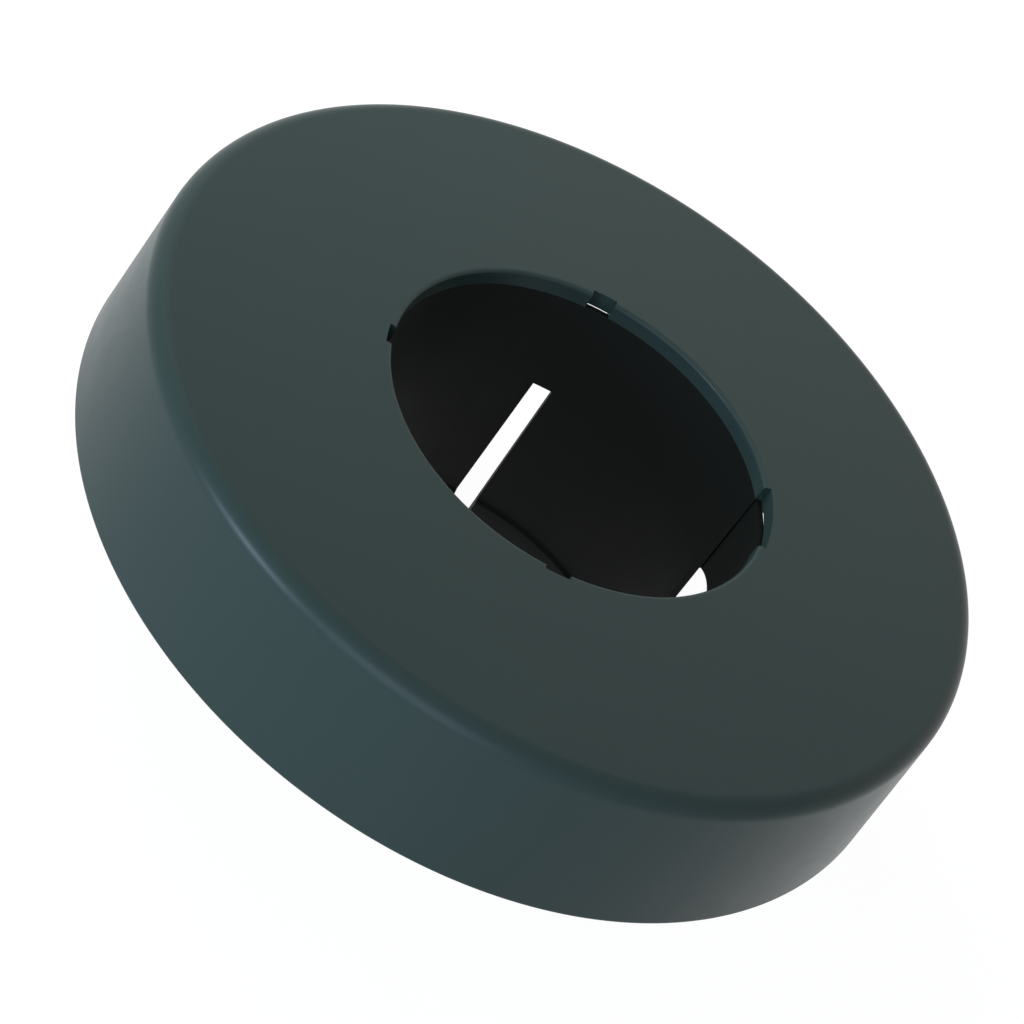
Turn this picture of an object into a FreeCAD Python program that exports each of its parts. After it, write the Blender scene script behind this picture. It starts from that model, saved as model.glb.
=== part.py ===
"""Pipe flange cover for a toilet soil pipe: a deep round cover, and a slotted clamp sleeve that pushes up into it.

Millimetres, +Z up. The origin is on the bore axis, at the tips of the sleeve's fingers.
"""

import FreeCAD, Part
import math
import os

# --- driving dimensions ------------------------------------------------------------------------
pipe_diameter = 110.0          # outside diameter of the soil pipe that the fingers grip
pipe_passage = 1.0             # radial room between the pipe and the bore

cover_diameter = 250.0         # across the foot of the skirt
cover_height = 46.0            # foot of the skirt to the outer face
plate_thickness = 2.6
skirt_thickness = 2.4
skirt_draft_deg = 3.4          # the skirt narrows towards the plate, so that it leaves its mould
edge_radius = 5.0              # rounded outer edge between plate and skirt
foot_chamfer = 0.4

bore_edge_radius = 1.2         # rounded edge of the hole in the plate
hub_depth = 5.0                # outer face to the shoulder that the sleeve's end meets
seat_thickness = 2.4           # wall of the socket under the plate
seat_depth = 28.0              # outer face to the open end of the socket
rib_count = 12
rib_thickness = 1.8
rib_depth_at_seat = 9.0
rib_depth_at_skirt = 5.0
rib_bite = 0.4                 # how far a rib runs into the walls that it joins

sleeve_wall = 1.8
sleeve_reach = 50.0            # how far the fingers stand out past the foot of the skirt
sleeve_entry_chamfer = 0.5
finger_root_depth = 37.0       # outer face to the closed ends of the slots
root_gap = 0.2                 # split between the ring and each finger, where the finger bends
slot_width_top = 6.0
slot_width_tip = 7.0
wide_slot_width = 29.6
wide_slot_rise = 4.3           # the wide slot's closed end is an arch this high
channel_depth = 0.45           # shallow channel down the ring's inner wall, at the wide key

lip_land = 9.5                 # height of the band that bears on the pipe
lip_lead_in = 1.0              # chamfered lead-in under the band
tip_chamfer = 0.6              # outside edge of the finger tips

key_count = 4                  # one wide key and the rest narrow, evenly spaced
key_angle_deg = 16.6           # where the wide key lies, from +X
wide_key_deg = 24.2
narrow_key_deg = 7.4
key_height = 1.6               # how far a lug stands out of the sleeve
keyway_depth = 1.2             # of the channel a lug slides up: less than the lug, so that it snaps home
lug_length = 9.0
lug_drop = 2.2                 # room over a lug, in its window
lug_room_below = 0.3           # room under a lug, in its window
notch_depth = 2.1              # how far each notch in the plate is cut back from the bore
slide_clearance = 0.3          # radial room between the sleeve and its socket
key_side_clearance = 0.35      # room on each side of a lug

# --- values that follow from them --------------------------------------------------------------
foot_z = sleeve_reach
face_z = foot_z + cover_height
shoulder_z = face_z - hub_depth
seat_end_z = face_z - seat_depth
root_z = face_z - finger_root_depth
underside_z = face_z - plate_thickness

pipe_radius = pipe_diameter / 2
bore_radius = pipe_radius + pipe_passage
sleeve_radius = bore_radius + sleeve_wall
lug_radius = sleeve_radius + key_height
seat_bore_radius = sleeve_radius + slide_clearance
keyway_radius = sleeve_radius + keyway_depth
lug_top_z = shoulder_z - lug_drop
lug_low_z = lug_top_z - lug_length
window_low_z = lug_low_z - lug_room_below
notch_radius = bore_radius + notch_depth
seat_radius = seat_bore_radius + seat_thickness
foot_radius = cover_diameter / 2
shoulder_radius = foot_radius - cover_height * math.tan(math.radians(skirt_draft_deg))

key_angles = [key_angle_deg + i * 360.0 / key_count for i in range(key_count)]
key_widths = [wide_key_deg] + [narrow_key_deg] * (key_count - 1)
overlap = 1.0                  # how far cutting tools run past what they cut

UP = FreeCAD.Vector(0, 0, 1)
ORIGIN = FreeCAD.Vector(0, 0, 0)


def profile(corners):
    """A closed face in the XZ plane from corners (radius, height, corner rounding)."""
    points = [FreeCAD.Vector(r, 0, z) for r, z, _ in corners]
    ends, edges = [], []
    for i, (_, _, rounding) in enumerate(corners):
        here = points[i]
        if not rounding:
            ends.append((here, here))
            continue
        back = (points[i - 1] - here).normalize()
        on = (points[(i + 1) % len(points)] - here).normalize()
        half = back.getAngle(on) / 2
        inward = (back + on).normalize()
        setback = rounding / math.tan(half)
        start, end = here + back * setback, here + on * setback
        middle = here + inward * (rounding / math.sin(half) - rounding)
        edges.append(Part.Arc(start, middle, end).toShape())
        ends.append((start, end))
    for i, (_, leave) in enumerate(ends):
        arrive = ends[(i + 1) % len(ends)][0]
        edges.append(Part.LineSegment(leave, arrive).toShape())
    return Part.Face(Part.Wire(Part.__sortEdges__(edges)))


def turned(corners):
    """A full turn of a profile about the bore axis."""
    return profile(corners).revolve(ORIGIN, UP, 360)


def sector(inner, outer, low, high, middle_deg, width_deg):
    """A block bounded by two radii, two heights and two radial planes."""
    face = profile([(inner, low, 0), (outer, low, 0), (outer, high, 0), (inner, high, 0)])
    face.rotate(ORIGIN, UP, middle_deg - width_deg / 2)
    return face.revolve(ORIGIN, UP, width_deg)


def radial_prism(outline, angle_deg, length):
    """An outline of (sideways, height) points, run outwards from the axis at an angle."""
    points = [FreeCAD.Vector(0, side, z) for side, z in outline]
    prism = Part.Face(Part.makePolygon(points + points[:1])).extrude(FreeCAD.Vector(length, 0, 0))
    prism.rotate(ORIGIN, UP, angle_deg)
    return prism


def skirt_radius(z):
    """Outside radius of the tapered skirt at a height."""
    return foot_radius - (z - foot_z) * math.tan(math.radians(skirt_draft_deg))


def cover_shell():
    """Plate, skirt and sleeve socket, moulded in one."""
    inner_edge = max(edge_radius - skirt_thickness, 0.5)
    return turned([
        (foot_radius, foot_z, foot_chamfer),
        (shoulder_radius, face_z, edge_radius),
        (bore_radius, face_z, bore_edge_radius),
        (bore_radius, shoulder_z, 0),
        (seat_bore_radius, shoulder_z, 0),
        (seat_bore_radius, seat_end_z, foot_chamfer),
        (seat_radius, seat_end_z, foot_chamfer),
        (seat_radius, underside_z, plate_thickness / 2),
        (skirt_radius(underside_z) - skirt_thickness, underside_z, inner_edge),
        (foot_radius - skirt_thickness, foot_z, foot_chamfer),
    ])


def cover_rib(angle_deg):
    """One rib under the plate, from the socket to the skirt."""
    inside = seat_radius - rib_bite
    outside = skirt_radius(underside_z - rib_depth_at_skirt) - skirt_thickness + rib_bite
    roof = underside_z + rib_bite
    corners = [
        FreeCAD.Vector(inside, -rib_thickness / 2, roof),
        FreeCAD.Vector(outside, -rib_thickness / 2, roof),
        FreeCAD.Vector(outside, -rib_thickness / 2, underside_z - rib_depth_at_skirt),
        FreeCAD.Vector(inside, -rib_thickness / 2, underside_z - rib_depth_at_seat),
    ]
    rib = Part.Face(Part.makePolygon(corners + corners[:1])).extrude(FreeCAD.Vector(0, rib_thickness, 0))
    rib.rotate(ORIGIN, UP, angle_deg)
    return rib


def cover():
    """The whole cover: shell and ribs, with a keyway, a window and a notch for each of the sleeve's lugs."""
    pitch = 360.0 / rib_count
    ribs = [cover_rib(key_angle_deg + (i + 0.5) * pitch) for i in range(rib_count)]
    body = cover_shell().fuse(ribs).removeSplitter()
    inside = bore_radius - overlap
    outside = seat_radius + overlap
    cutters = []
    for angle, width in zip(key_angles, key_widths):
        cutters.append(sector(inside, keyway_radius, seat_end_z - overlap, shoulder_z, angle, width))
        cutters.append(sector(inside, outside, window_low_z, shoulder_z, angle, width))
        cutters.append(sector(inside, notch_radius, shoulder_z - overlap, face_z + overlap, angle, width))
    return body.cut(cutters)


def arch(angle_deg):
    """The rounded closed end of the wide slot, cut up into the ring."""
    half = wide_slot_width / 2
    left = FreeCAD.Vector(0, -half, root_z)
    right = FreeCAD.Vector(0, half, root_z)
    crown = FreeCAD.Vector(0, 0, root_z + wide_slot_rise)
    below_left = left - UP * overlap
    below_right = right - UP * overlap
    edges = [
        Part.Arc(left, crown, right).toShape(),
        Part.LineSegment(right, below_right).toShape(),
        Part.LineSegment(below_right, below_left).toShape(),
        Part.LineSegment(below_left, left).toShape(),
    ]
    cutter = Part.Face(Part.Wire(edges)).extrude(FreeCAD.Vector(sleeve_radius + overlap, 0, 0))
    cutter.rotate(ORIGIN, UP, angle_deg)
    return cutter


def sleeve_ring():
    """The closed upper part of the sleeve, with its four lugs."""
    ring = turned([
        (sleeve_radius, root_z, 0),
        (sleeve_radius, shoulder_z, 0),
        (bore_radius + sleeve_entry_chamfer, shoulder_z, 0),
        (bore_radius, shoulder_z - sleeve_entry_chamfer, 0),
        (bore_radius, root_z, 0),
    ])
    side_room_deg = math.degrees(key_side_clearance / sleeve_radius)
    root_radius = sleeve_radius - sleeve_wall / 2
    lugs = [
        sector(root_radius, lug_radius, lug_low_z, lug_top_z, angle, width - 2 * side_room_deg)
        for angle, width in zip(key_angles, key_widths)
    ]
    channel = sector(bore_radius - overlap, bore_radius + channel_depth, root_z - overlap,
                     shoulder_z + overlap, key_angle_deg, wide_key_deg)
    return ring.fuse(lugs).removeSplitter().cut([channel, arch(key_angle_deg)])


def slot_cutter(angle_deg, top_width, tip_width):
    """A slot that widens from the fingers' roots to their tips, and runs past both."""
    slope = (tip_width - top_width) / 2 / root_z
    top, tip = root_z + overlap, -overlap
    half_top = top_width / 2 - slope * overlap
    half_tip = tip_width / 2 + slope * overlap
    outline = [(-half_top, top), (half_top, top), (half_tip, tip), (-half_tip, tip)]
    return radial_prism(outline, angle_deg, sleeve_radius + overlap)


def fingers():
    """The sleeve's spring fingers, each with a lip that bears on the pipe, in order of angle."""
    top = root_z - root_gap
    lip_top = lip_lead_in + lip_land
    wall = turned([
        (sleeve_radius, tip_chamfer, 0),
        (sleeve_radius, top, 0),
        (bore_radius, top, 0),
        (bore_radius, lip_top + pipe_passage, 0),
        (pipe_radius, lip_top, 0),
        (pipe_radius, lip_lead_in, 0),
        (pipe_radius + lip_lead_in / 2, 0, 0),
        (sleeve_radius - tip_chamfer, 0, 0),
    ])
    cutters = [slot_cutter(key_angles[0], wide_slot_width, wide_slot_width)]
    cutters += [slot_cutter(angle, slot_width_top, slot_width_tip) for angle in key_angles[1:]]
    pieces = wall.cut(cutters).Solids
    return sorted(pieces, key=lambda s: (middle_angle(s) - key_angle_deg) % 360)


def middle_angle(solid):
    """The angle of a solid's centre of mass about the bore axis, in degrees."""
    centre = solid.CenterOfMass
    return math.degrees(math.atan2(centre.y, centre.x))


def main():
    os.makedirs("parts", exist_ok=True)
    pieces = {"cover": cover(), "sleeve_ring": sleeve_ring()}
    for number, finger in enumerate(fingers(), 1):
        pieces[f"finger_{number}"] = finger
    for name, shape in pieces.items():
        print(f"{name}: {len(shape.Solids)} solid, valid {shape.isValid()}, {shape.Volume / 1000:.1f} cm3")
        shape.exportStep(f"parts/{name}.step")


main()
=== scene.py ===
"""The looks of a toilet pipe flange cover: a satin cover moulding over a black slotted sleeve.

Sizes are in millimetres until they reach Blender, which works in metres. The main heights and the foot's
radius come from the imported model, and the other sizes repeat the ones the parts were built with. Three
things differ: the sleeve's entry chamfer is smaller here, the fingers meet the ring without a split, so
that their roots can bend, and the ribs' taper, the broken sharp edges and the ejector marks are only here.
"""
import math

import bmesh
import bpy
from mathutils import Matrix, Vector


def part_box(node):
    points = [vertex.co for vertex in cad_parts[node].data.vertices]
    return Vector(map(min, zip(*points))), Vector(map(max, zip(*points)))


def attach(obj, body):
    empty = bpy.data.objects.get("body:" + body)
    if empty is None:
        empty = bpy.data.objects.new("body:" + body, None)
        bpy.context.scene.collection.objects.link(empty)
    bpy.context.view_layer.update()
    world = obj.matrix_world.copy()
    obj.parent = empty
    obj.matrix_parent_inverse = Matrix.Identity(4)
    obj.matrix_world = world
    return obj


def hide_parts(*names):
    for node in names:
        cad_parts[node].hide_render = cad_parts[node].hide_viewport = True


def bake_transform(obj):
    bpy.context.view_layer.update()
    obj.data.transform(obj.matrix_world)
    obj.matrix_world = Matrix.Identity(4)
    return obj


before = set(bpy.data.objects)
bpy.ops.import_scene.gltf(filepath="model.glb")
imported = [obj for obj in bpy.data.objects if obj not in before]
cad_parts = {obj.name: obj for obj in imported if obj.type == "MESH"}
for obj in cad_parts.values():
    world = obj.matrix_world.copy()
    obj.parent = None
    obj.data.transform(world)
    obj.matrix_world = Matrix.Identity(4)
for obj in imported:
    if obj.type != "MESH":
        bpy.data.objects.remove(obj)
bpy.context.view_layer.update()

MM = 0.001

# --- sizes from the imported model, in millimetres -----------------------------------------------
cover_low, cover_high = (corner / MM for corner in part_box("cover"))
ring_low, ring_high = (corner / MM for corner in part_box("sleeve_ring"))
foot_z, face_z = cover_low.z, cover_high.z
root_z, shoulder_z = ring_low.z, ring_high.z
foot_radius = cover_high.x

# --- cover moulding ----------------------------------------------------------------------------
bore_radius = 56.0
plate_thickness = 2.6
skirt_thickness = 2.4
skirt_draft = math.radians(3.4)
edge_radius = 5.0
foot_rounding = 0.4
bore_edge_radius = 1.2
seat_bore_radius = 58.1
seat_radius = 60.5
seat_depth = 28.0
seat_end_z = face_z - seat_depth
underside_z = face_z - plate_thickness
notch_depth = 2.1
notch_radius = bore_radius + notch_depth
keyway_radius = 59.0
rib_count = 12
rib_thickness = 1.8
rib_depth_at_seat = 9.0
rib_depth_at_skirt = 5.0
rib_bite = 0.4                 # how far a rib runs into the walls that it joins
rib_taper = 0.8                # thickness of a rib's lower edge, as a share of its thickness at the plate
rib_rounding = 0.4
ejector_radius = 3.0
ejector_depth = 0.25
ejector_rings = (72.0, 108.0)  # radii of the two rings of ejector marks
broken_edge = 0.15             # every sharp edge that a mould leaves is slightly broken

# --- sleeve moulding ---------------------------------------------------------------------------
sleeve_radius = 57.8
lug_radius = 59.4
lug_length = 9.0
lug_drop = 2.2                 # room over a lug, in its window
lug_room_below = 0.3           # room under a lug, in its window
lug_top_z = shoulder_z - lug_drop
lug_low_z = lug_top_z - lug_length
lug_side_room_deg = 0.35
window_low_z = lug_low_z - lug_room_below
entry_chamfer = 0.2
pipe_radius = 55.0
lip_top = 10.5
lip_lead_in = 1.0
lip_slope = 1.0                # height of the slope from the bore in to the lip
tip_chamfer = 0.6
slot_width_top = 6.0
slot_width_tip = 7.0
wide_slot_width = 29.6
wide_slot_rise = 4.3
channel_depth = 0.45           # the shallow channel down the ring's inner wall at the wide key
bend_length = 9.0              # how much of a finger's root bends when the finger flexes

# --- keys --------------------------------------------------------------------------------------
key_angle_deg = 16.6
wide_key_deg = 24.2
narrow_key_deg = 7.4
key_count = 4
key_angles = [key_angle_deg + 360.0 / key_count * i for i in range(key_count)]
key_widths = [wide_key_deg] + [narrow_key_deg] * (key_count - 1)

segments = 256                 # facets round a full turn
overlap = 1.0                  # how far cutting tools run past what they cut
smooth_deg = 35.0              # edges sharper than this stay crisp


# --- modelling by hand, in code ----------------------------------------------------------------
def deselect():
    """Nothing selected, so that the next operator acts on its own piece only."""
    bpy.ops.object.select_all(action="DESELECT")


def activate(piece):
    """Selects one piece and makes it the active one."""
    deselect()
    piece.select_set(True)
    bpy.context.view_layer.objects.active = piece


def pick_edges(piece, test):
    """In edit mode, selects only the edges whose two ends both pass a test on their place in mm."""
    bpy.ops.mesh.select_mode(type="EDGE")
    bpy.ops.mesh.select_all(action="DESELECT")
    mesh = bmesh.from_edit_mesh(piece.data)
    for edge in mesh.edges:
        edge.select_set(all(test(vertex.co / MM) for vertex in edge.verts))
    bmesh.update_edit_mesh(piece.data)


def on_ring(radius, height, slack=0.002):
    """A test for points on one horizontal ring."""
    return lambda p: abs(math.hypot(p.x, p.y) - radius) < slack and abs(p.z - height) < slack


def setback(corners, index):
    """How far a corner's rounding starts from the corner, along each side."""
    here = Vector(corners[index][:2])
    back = Vector(corners[index - 1][:2]) - here
    on = Vector(corners[(index + 1) % len(corners)][:2]) - here
    return corners[index][2] / math.tan(back.angle(on) / 2)


def turn_profile(name, corners):
    """A closed ring-shaped piece, drawn as circles through (radius, height, rounding, steps) corners."""
    deselect()
    radius, height = corners[0][:2]
    bpy.ops.mesh.primitive_circle_add(vertices=segments, radius=radius * MM, location=(0, 0, height * MM))
    piece = bpy.context.object
    piece.name = name
    bpy.ops.object.transform_apply(location=True, rotation=True, scale=True)
    bpy.ops.object.mode_set(mode="EDIT")
    bpy.ops.mesh.select_all(action="SELECT")
    for next_radius, next_height, *_ in corners[1:]:
        move = {"value": (0, 0, (next_height - height) * MM)}
        bpy.ops.mesh.extrude_region_move(TRANSFORM_OT_translate=move)
        scale = next_radius / radius
        bpy.ops.transform.resize(value=(scale, scale, 1), center_override=(0, 0, 0))
        radius, height = next_radius, next_height
    bpy.ops.mesh.select_all(action="DESELECT")
    bpy.ops.mesh.select_non_manifold()
    bpy.ops.mesh.bridge_edge_loops()
    for index, (radius, height, rounding, steps) in enumerate(corners):
        if rounding:
            pick_edges(piece, on_ring(radius, height))
            bpy.ops.mesh.bevel(offset=setback(corners, index) * MM, segments=steps, affect="EDGES")
    bpy.ops.mesh.select_all(action="SELECT")
    bpy.ops.mesh.normals_make_consistent(inside=False)
    bpy.ops.object.mode_set(mode="OBJECT")
    return piece


def sector(inner, outer, low, high, middle_deg, width_deg):
    """A block between two radii, two heights and two radial planes: a plane spun about the axis."""
    deselect()
    bpy.ops.mesh.primitive_plane_add(size=1)
    piece = bpy.context.object
    piece.scale = ((outer - inner) * MM, (high - low) * MM, 1)
    piece.rotation_euler = (math.radians(90), 0, 0)
    piece.location = ((inner + outer) / 2 * MM, 0, (low + high) / 2 * MM)
    bpy.ops.object.transform_apply(location=True, rotation=True, scale=True)
    piece.rotation_euler = (0, 0, math.radians(middle_deg + width_deg / 2))
    bpy.ops.object.transform_apply(location=False, rotation=True, scale=False)
    bpy.ops.object.mode_set(mode="EDIT")
    bpy.ops.mesh.select_all(action="SELECT")
    steps = max(4, round(width_deg / 360 * segments))
    bpy.ops.mesh.spin(steps=steps, angle=math.radians(width_deg), center=(0, 0, 0), axis=(0, 0, 1))
    bpy.ops.mesh.select_all(action="SELECT")
    bpy.ops.mesh.normals_make_consistent(inside=False)
    bpy.ops.object.mode_set(mode="OBJECT")
    return piece


def upright_slab(outline, angle_deg, near, far):
    """An outline of (sideways, height) points as a slab standing across the radius, from near to far."""
    deselect()
    bpy.ops.mesh.primitive_circle_add(vertices=len(outline), radius=1, fill_type="NGON")
    piece = bpy.context.object
    for vertex, (side, height) in zip(piece.data.vertices, outline):
        vertex.co = (near * MM, side * MM, height * MM)
    bpy.ops.object.mode_set(mode="EDIT")
    bpy.ops.mesh.select_all(action="SELECT")
    bpy.ops.mesh.extrude_region_move(TRANSFORM_OT_translate={"value": ((far - near) * MM, 0, 0)})
    bpy.ops.mesh.select_all(action="SELECT")
    bpy.ops.mesh.normals_make_consistent(inside=False)
    bpy.ops.object.mode_set(mode="OBJECT")
    piece.rotation_euler = (0, 0, math.radians(angle_deg))
    bpy.ops.object.transform_apply(location=False, rotation=True, scale=False)
    return piece


def join(pieces):
    """Several pieces as the loose parts of one mesh."""
    activate(pieces[0])
    for piece in pieces[1:]:
        piece.select_set(True)
    if len(pieces) > 1:
        bpy.ops.object.join()
    return pieces[0]


def combine(piece, others, operation):
    """Joins or cuts a piece with others, which are used up."""
    tool = join(others)
    activate(piece)
    modifier = piece.modifiers.new("combine", "BOOLEAN")
    modifier.operation = operation
    modifier.solver = "EXACT"
    modifier.object = tool
    bpy.ops.object.modifier_apply(modifier=modifier.name)
    bpy.data.objects.remove(tool)


def shade(piece):
    """Shades a piece smooth, but for its sharp edges."""
    activate(piece)
    bpy.ops.object.shade_smooth_by_angle(angle=math.radians(smooth_deg))


def soften(piece, width):
    """Breaks the sharp edges that a mould leaves, and shades the rest smooth."""
    activate(piece)
    modifier = piece.modifiers.new("broken_edges", "BEVEL")
    modifier.width = width * MM
    modifier.segments = 2
    modifier.limit_method = "ANGLE"
    modifier.angle_limit = math.radians(smooth_deg)
    modifier.use_clamp_overlap = True
    modifier.harden_normals = False
    bpy.ops.object.modifier_apply(modifier=modifier.name)
    shade(piece)


# --- materials ---------------------------------------------------------------------------------
def linear(hex_code):
    """An sRGB hex colour as linear red, green, blue and alpha."""
    channels = [int(hex_code[i:i + 2], 16) / 255 for i in (1, 3, 5)]
    return [c / 12.92 if c <= 0.04045 else ((c + 0.055) / 1.055) ** 2.4 for c in channels] + [1.0]


def add(tree, kind, settings=None, **inputs):
    """One node with its settings; each input is a value or another node's output."""
    node = tree.nodes.new(kind)
    for name, value in (settings or {}).items():
        setattr(node, name, value)
    for name, value in inputs.items():
        socket = node.inputs[int(name[1:])] if name[0] == "_" else node.inputs[name.replace("_", " ")]
        if isinstance(value, bpy.types.NodeSocket):
            tree.links.new(value, socket)
        else:
            socket.default_value = value
    return node


def moulded_plastic(name, colour, mottle_colour, roughness, gloss, grain_mm, grain_depth_mm):
    """Injection-moulded polypropylene: an even colour, a satin face, and the fine grain of the mould."""
    material = bpy.data.materials.new(name)
    material.use_nodes = True
    tree = material.node_tree
    tree.nodes.clear()
    place = add(tree, "ShaderNodeTexCoord").outputs["Object"]
    per_metre = 1 / MM
    patch_mm, rubbed_mm = 38, 9
    sheen_spread = 0.02
    # Pigment never spreads quite evenly: broad soft patches a few centimetres across.
    patches = add(tree, "ShaderNodeTexNoise", Vector=place, Scale=per_metre / patch_mm, Detail=2.0,
                  Roughness=0.5)
    tint = add(tree, "ShaderNodeMix", {"data_type": "RGBA"}, _0=patches.outputs["Fac"],
               _6=linear(colour), _7=linear(mottle_colour))
    # Handling and the mould's polish leave the sheen slightly uneven.
    rubbed = add(tree, "ShaderNodeTexNoise", Vector=place, Scale=per_metre / rubbed_mm, Detail=4.0,
                 Roughness=0.6)
    sheen = add(tree, "ShaderNodeMapRange", Value=rubbed.outputs["Fac"], From_Min=0.3, From_Max=0.7,
                To_Min=roughness - sheen_spread, To_Max=roughness + sheen_spread)
    # Spark-eroded grain is about 0.2 mm; it is drawn coarser so that it shows at arm's length.
    grain = add(tree, "ShaderNodeTexNoise", Vector=place, Scale=per_metre / grain_mm, Detail=3.0,
                Roughness=0.55)
    relief = add(tree, "ShaderNodeBump", Strength=1.0, Distance=grain_depth_mm * MM,
                 Height=grain.outputs["Fac"])
    shader = add(tree, "ShaderNodeBsdfPrincipled", Base_Color=tint.outputs[2],
                 Roughness=sheen.outputs["Result"], IOR=1.49, Specular_IOR_Level=gloss,
                 Normal=relief.outputs["Normal"])
    add(tree, "ShaderNodeOutputMaterial", Surface=shader.outputs["BSDF"])
    return material


def finish(piece, material):
    """Gives a piece its material."""
    piece.data.materials.clear()
    piece.data.materials.append(material)


# --- cover -------------------------------------------------------------------------------------
def skirt_radius(z):
    """Outside radius of the tapered skirt at a height."""
    return foot_radius - (z - foot_z) * math.tan(skirt_draft)


def cover_shell():
    """Plate, skirt and the sleeve's socket, with spare rings beside each rounding to hold the flats."""
    hold = 0.4
    edge_reach = edge_radius + hold
    skirt_top = face_z - edge_reach
    skirt_bottom = foot_z + foot_rounding + hold
    inner_edge = edge_radius - skirt_thickness
    corner_radius = skirt_radius(underside_z) - skirt_thickness
    inner_top = underside_z - inner_edge - hold
    return turn_profile("cover_moulding", [
        (foot_radius, foot_z, foot_rounding, 3),
        (skirt_radius(skirt_bottom), skirt_bottom, 0, 0),
        (skirt_radius(skirt_top), skirt_top, 0, 0),
        (skirt_radius(face_z), face_z, edge_radius, 12),
        (skirt_radius(face_z) - edge_reach, face_z, 0, 0),
        (bore_radius + bore_edge_radius + hold, face_z, 0, 0),
        (bore_radius, face_z, bore_edge_radius, 6),
        (bore_radius, shoulder_z, 0, 0),
        (seat_bore_radius, shoulder_z, 0, 0),
        (seat_bore_radius, seat_end_z, foot_rounding, 2),
        (seat_radius, seat_end_z, foot_rounding, 2),
        (seat_radius, underside_z, plate_thickness / 2, 4),
        (corner_radius, underside_z, inner_edge, 6),
        (skirt_radius(inner_top) - skirt_thickness, inner_top, 0, 0),
        (foot_radius - skirt_thickness, foot_z, foot_rounding, 3),
    ])


def cover_rib(angle_deg):
    """One rib under the plate: a cube stretched from socket to skirt, its lower edge sloped and rounded."""
    near = seat_radius - rib_bite
    far = skirt_radius(underside_z - rib_depth_at_skirt) - skirt_thickness + rib_bite
    roof = underside_z + rib_bite
    deselect()
    bpy.ops.mesh.primitive_cube_add(size=1)
    rib = bpy.context.object
    for vertex in rib.data.vertices:
        depth = rib_depth_at_skirt if vertex.co.x > 0 else rib_depth_at_seat
        x = far if vertex.co.x > 0 else near
        z = roof if vertex.co.z > 0 else underside_z - depth
        taper = 1.0 if vertex.co.z > 0 else rib_taper
        vertex.co = (x * MM, math.copysign(rib_thickness / 2 * taper, vertex.co.y) * MM, z * MM)
    bpy.ops.object.mode_set(mode="EDIT")
    pick_edges(rib, lambda p: p.z < underside_z)
    bpy.ops.mesh.bevel(offset=rib_rounding * MM, segments=2, affect="EDGES")
    bpy.ops.mesh.select_all(action="SELECT")
    bpy.ops.mesh.normals_make_consistent(inside=False)
    bpy.ops.object.mode_set(mode="OBJECT")
    rib.rotation_euler = (0, 0, math.radians(angle_deg))
    bpy.ops.object.transform_apply(location=False, rotation=True, scale=False)
    return rib


def ejector_mark(angle_deg, radius):
    """The shallow round print of a pin that pushed the moulding out, on the plate's underside."""
    turn = math.radians(angle_deg)
    place = (radius * math.cos(turn) * MM, radius * math.sin(turn) * MM, underside_z * MM)
    deselect()
    bpy.ops.mesh.primitive_cylinder_add(vertices=40, radius=ejector_radius * MM,
                                        depth=2 * ejector_depth * MM, location=place)
    bpy.ops.object.transform_apply(location=True, rotation=True, scale=True)
    return bpy.context.object


def cover_moulding():
    """The whole cover: shell, ribs, keyways, notches and the prints of the ejector pins."""
    piece = cover_shell()
    pitch = 360.0 / rib_count
    rib_angles = [key_angle_deg + (i + 0.5) * pitch for i in range(rib_count)]
    combine(piece, [cover_rib(angle) for angle in rib_angles], "UNION")
    inside = seat_bore_radius - overlap / 2
    keys = list(zip(key_angles, key_widths))
    notches = [sector(bore_radius - overlap, notch_radius, shoulder_z - overlap / 2, face_z + overlap, *key)
               for key in keys]
    combine(piece, notches, "DIFFERENCE")
    keyways = [sector(inside, keyway_radius, seat_end_z - overlap, window_low_z + overlap / 2, *key)
               for key in keys]
    combine(piece, keyways, "DIFFERENCE")
    windows = [sector(inside, seat_radius + overlap, window_low_z, shoulder_z, *key) for key in keys]
    combine(piece, windows, "DIFFERENCE")
    marks = [ejector_mark(angle + pitch / 2, radius) for angle in rib_angles for radius in ejector_rings]
    combine(piece, marks, "DIFFERENCE")
    soften(piece, broken_edge)
    return piece


# --- sleeve ------------------------------------------------------------------------------------
def arch_outline():
    """The rounded top of the wide slot, as (sideways, height) points."""
    half = wide_slot_width / 2
    radius = (half ** 2 + wide_slot_rise ** 2) / (2 * wide_slot_rise)
    spread = math.asin(half / radius)
    centre = root_z + wide_slot_rise - radius
    steps = 16
    turns = [spread * (2 * i / steps - 1) for i in range(steps + 1)]
    outline = [(radius * math.sin(turn), centre + radius * math.cos(turn)) for turn in turns]
    return outline + [(half, root_z - overlap), (-half, root_z - overlap)]


def sleeve_ring_moulding():
    """The closed upper part of the sleeve, with lugs that key into the cover."""
    piece = turn_profile("sleeve_ring_moulding", [
        (sleeve_radius, root_z, 0, 0),
        (sleeve_radius, shoulder_z, 0, 0),
        (bore_radius + entry_chamfer, shoulder_z, 0, 0),
        (bore_radius, shoulder_z - entry_chamfer, 0, 0),
        (bore_radius, root_z, 0, 0),
    ])
    middle = (bore_radius + sleeve_radius) / 2
    lugs = []
    for angle, width in zip(key_angles, key_widths):
        lugs.append(sector(middle, lug_radius, lug_low_z, lug_top_z, angle, width - 2 * lug_side_room_deg))
    combine(piece, lugs, "UNION")
    channel = sector(bore_radius - overlap, bore_radius + channel_depth, root_z - overlap,
                     shoulder_z + overlap, key_angle_deg, wide_key_deg)
    arch = upright_slab(arch_outline(), key_angle_deg, 0.0, sleeve_radius + 5 * overlap)
    combine(piece, [channel], "DIFFERENCE")
    combine(piece, [arch], "DIFFERENCE")
    shade(piece)
    return piece


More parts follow.
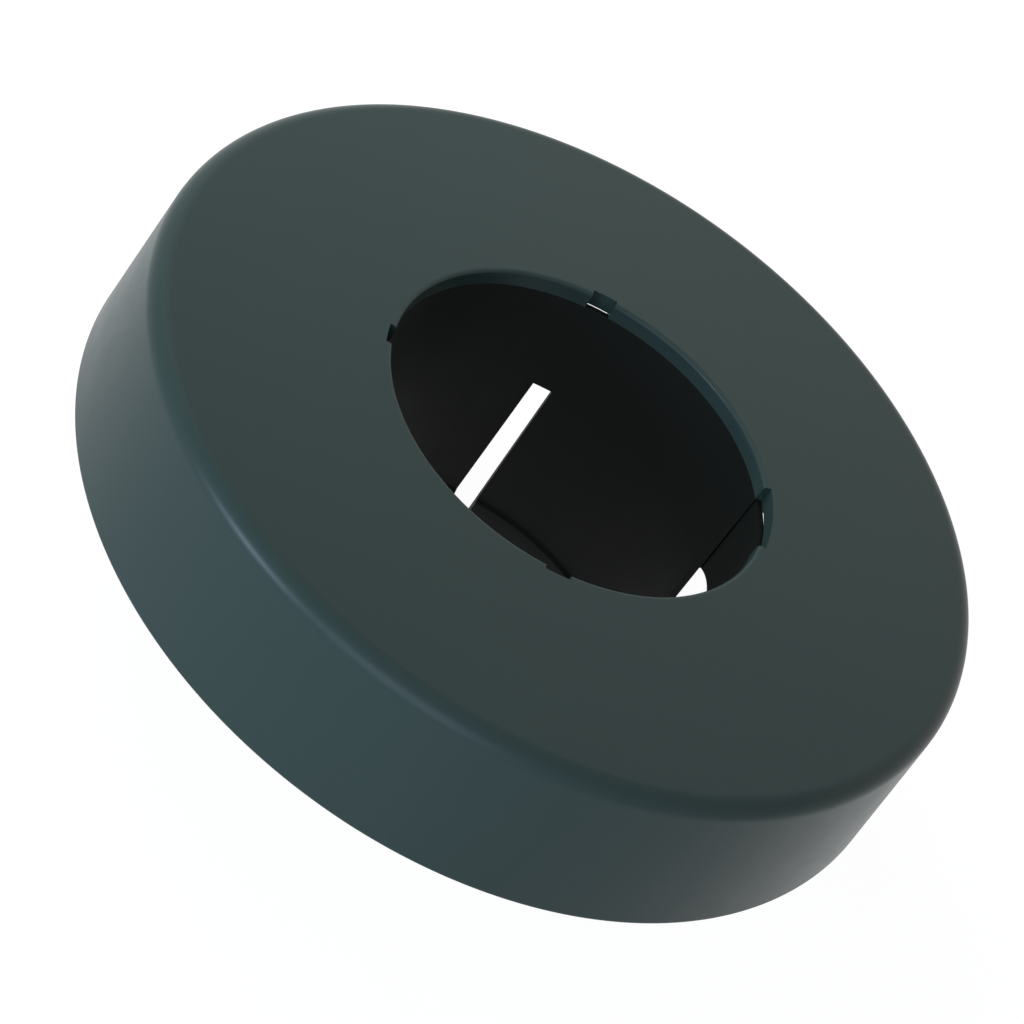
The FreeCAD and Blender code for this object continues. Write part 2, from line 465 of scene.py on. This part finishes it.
def slot_outline(top_width, tip_width):
    """A slot that widens from the fingers' roots to their tips, as (sideways, height) points."""
    slope = (tip_width - top_width) / 2 / root_z
    half_top = top_width / 2 - slope * overlap
    half_tip = tip_width / 2 + slope * overlap
    top, tip = root_z + overlap, -overlap
    return [(-half_top, top), (half_top, top), (half_tip, tip), (-half_tip, tip)]


def finger_mouldings():
    """The four spring fingers in order of angle, cut from one turned tube by the four slots."""
    bends = [root_z - bend_length * step / 5 for step in range(1, 6)]
    outside = [(sleeve_radius, z, 0, 0) for z in reversed(bends)]
    inside = [(bore_radius, z, 0, 0) for z in bends]
    tube = turn_profile("finger_tube", [
        (sleeve_radius, tip_chamfer, 0, 0),
        *outside,
        (sleeve_radius, root_z, 0, 0),
        (bore_radius, root_z, 0, 0),
        *inside,
        (bore_radius, lip_top + lip_slope, 0, 0),
        (pipe_radius, lip_top, 0, 0),
        (pipe_radius, lip_lead_in, 0, 0),
        (pipe_radius + lip_lead_in / 2, 0, 0, 0),
        (sleeve_radius - tip_chamfer, 0, 0, 0),
    ])
    slots = [upright_slab(slot_outline(wide_slot_width, wide_slot_width), key_angle_deg, 0.0,
                          2 * sleeve_radius)]
    for angle in key_angles[1:]:
        outline = slot_outline(slot_width_top, slot_width_tip)
        slots.append(upright_slab(outline, angle, 5.0, 2 * sleeve_radius))
    combine(tube, slots[:1], "DIFFERENCE")
    combine(tube, slots[1:], "DIFFERENCE")
    activate(tube)
    bpy.ops.object.mode_set(mode="EDIT")
    bpy.ops.mesh.select_all(action="SELECT")
    bpy.ops.mesh.separate(type="LOOSE")
    bpy.ops.object.mode_set(mode="OBJECT")
    pieces = sorted(bpy.context.selected_objects, key=turn_from_key)
    for number, piece in enumerate(pieces, 1):
        piece.name = f"finger_{number}_moulding"
        shade(piece)
    return pieces


def turn_from_key(piece):
    """A piece's angle about the axis, counted from the wide key."""
    middle = sum((vertex.co for vertex in piece.data.vertices), Vector()) / len(piece.data.vertices)
    return (math.degrees(math.atan2(middle.y, middle.x)) - key_angle_deg) % 360


# --- stage -------------------------------------------------------------------------------------
def seen_directly(tree):
    """1 for what the camera, a mirror or glass sees, 0 for the light that falls on the object."""
    path = add(tree, "ShaderNodeLightPath").outputs
    seen = path["Is Camera Ray"]
    for kind in ("Is Glossy Ray", "Is Transmission Ray"):
        seen = add(tree, "ShaderNodeMath", {"operation": "MAXIMUM"}, _0=seen, _1=path[kind]).outputs[0]
    return seen


def set_floor():
    """A white studio floor that keeps a soft shadow under the object, clear from below."""
    deselect()
    bpy.ops.mesh.primitive_plane_add(size=12, location=(0, 0, 0))
    floor = bpy.context.object
    floor.name = "studio_floor"
    material = bpy.data.materials.new("white_studio_paper")
    material.use_nodes = True
    tree = material.node_tree
    tree.nodes.clear()
    lit = add(tree, "ShaderNodeBsdfDiffuse", Color=linear("#F4F4F4")).outputs[0]
    paper = add(tree, "ShaderNodeBsdfDiffuse", Color=linear("#5E5E5E")).outputs[0]
    glow = add(tree, "ShaderNodeEmission", Color=linear("#FFFFFF"), Strength=0.96).outputs[0]
    shown = add(tree, "ShaderNodeAddShader", _0=paper, _1=glow).outputs[0]
    above = add(tree, "ShaderNodeMixShader", _0=seen_directly(tree), _1=lit, _2=shown).outputs[0]
    clear = add(tree, "ShaderNodeBsdfTransparent").outputs[0]
    below = add(tree, "ShaderNodeNewGeometry").outputs["Backfacing"]
    mix = add(tree, "ShaderNodeMixShader", _0=below, _1=above, _2=clear)
    add(tree, "ShaderNodeOutputMaterial", Surface=mix.outputs[0])
    floor.data.materials.append(material)


def set_world():
    """A white surround, with a plain grey level of its own light."""
    world = bpy.data.worlds.new("studio")
    bpy.context.scene.world = world
    world.use_nodes = True
    tree = world.node_tree
    tree.nodes.clear()
    white = add(tree, "ShaderNodeBackground", Color=linear("#FFFFFF"), Strength=1.0).outputs[0]
    fill = add(tree, "ShaderNodeBackground", Color=linear("#FFFFFF"), Strength=0.18).outputs[0]
    mix = add(tree, "ShaderNodeMixShader", _0=seen_directly(tree), _1=fill, _2=white)
    add(tree, "ShaderNodeOutputWorld", Surface=mix.outputs[0])


def softbox(name, azimuth_deg, elevation_deg, distance, size, power, colour):
    """A square soft lamp that faces the object from an azimuth and elevation, with 0 in front."""
    turn, rise = math.radians(azimuth_deg - 90), math.radians(elevation_deg)
    away = Vector((math.cos(rise) * math.cos(turn), math.cos(rise) * math.sin(turn), math.sin(rise)))
    lamp = bpy.data.lights.new(name, "AREA")
    lamp.size = size
    lamp.energy = power
    lamp.color = linear(colour)[:3]
    holder = bpy.data.objects.new(name, lamp)
    holder.location = away * distance + Vector((0, 0, face_z * MM))
    holder.rotation_euler = away.to_track_quat("Z", "Y").to_euler()
    bpy.context.scene.collection.objects.link(holder)
    return holder


def set_camera():
    """A long lens, in front and above, rolled so that the cover lies across the picture on a slant."""
    elevation, roll = math.radians(38.67), math.radians(36.23)
    distance = 852.6
    aim_right, aim_up = 2.34, 6.73
    back = Vector((0, -math.cos(elevation), math.sin(elevation)))
    level_right = Vector((1, 0, 0))
    level_up = back.cross(level_right)
    right = level_right * math.cos(roll) + level_up * math.sin(roll)
    up = level_up * math.cos(roll) - level_right * math.sin(roll)
    aim = Vector((0, 0, foot_z)) + right * aim_right + up * aim_up
    lens = bpy.data.cameras.new("camera")
    lens.lens = 109.7
    lens.sensor_width = 36
    camera = bpy.data.objects.new("camera", lens)
    turn = Matrix((right, up, back)).transposed().to_4x4()
    camera.matrix_world = Matrix.Translation((aim + back * distance) * MM) @ turn
    bpy.context.scene.collection.objects.link(camera)
    bpy.context.scene.camera = camera


def main():
    """Models, finishes and places every piece, then the studio."""
    # Polypropylene, moulded against a fine spark-eroded face: dark grey-green, satin, soft highlights.
    cover_finish = moulded_plastic("satin_moulded_polypropylene_grey_green", "#2B3B38", "#2D3E3B", 0.34,
                                   0.18, 0.7, 0.010)
    # The same plastic in black, moulded against a plain machined face: darker and a little duller.
    sleeve_finish = moulded_plastic("matt_moulded_polypropylene_black", "#0D110F", "#101412", 0.55,
                                    0.12, 0.9, 0.012)
    cover = cover_moulding()
    finish(cover, cover_finish)
    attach(cover, "cover_and_sleeve")
    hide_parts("cover")
    ring = sleeve_ring_moulding()
    finish(ring, sleeve_finish)
    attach(ring, "cover_and_sleeve")
    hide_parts("sleeve_ring")
    for number, finger in enumerate(finger_mouldings(), 1):
        finish(finger, sleeve_finish)
        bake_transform(finger)
        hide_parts(f"finger_{number}")
    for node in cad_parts.values():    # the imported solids, all hidden behind the pieces above
        node.data.materials.clear()
        node.data.materials.append(sleeve_finish)
    set_floor()
    set_world()
    key = softbox("key_behind_left", -120, 40, 0.5, 0.35, 1.9, "#F4F9FF")
    key.visible_glossy = False    # or it would draw a broad highlight on the cover's rounded edge
    softbox("edge_front_left", -40, 7, 0.9, 0.28, 4.2, "#D6E6FF")
    softbox("low_front", 0, 12, 0.9, 0.6, 3.4, "#CFE2FF")
    set_camera()
    bpy.context.scene.view_settings.view_transform = "Standard"


main()
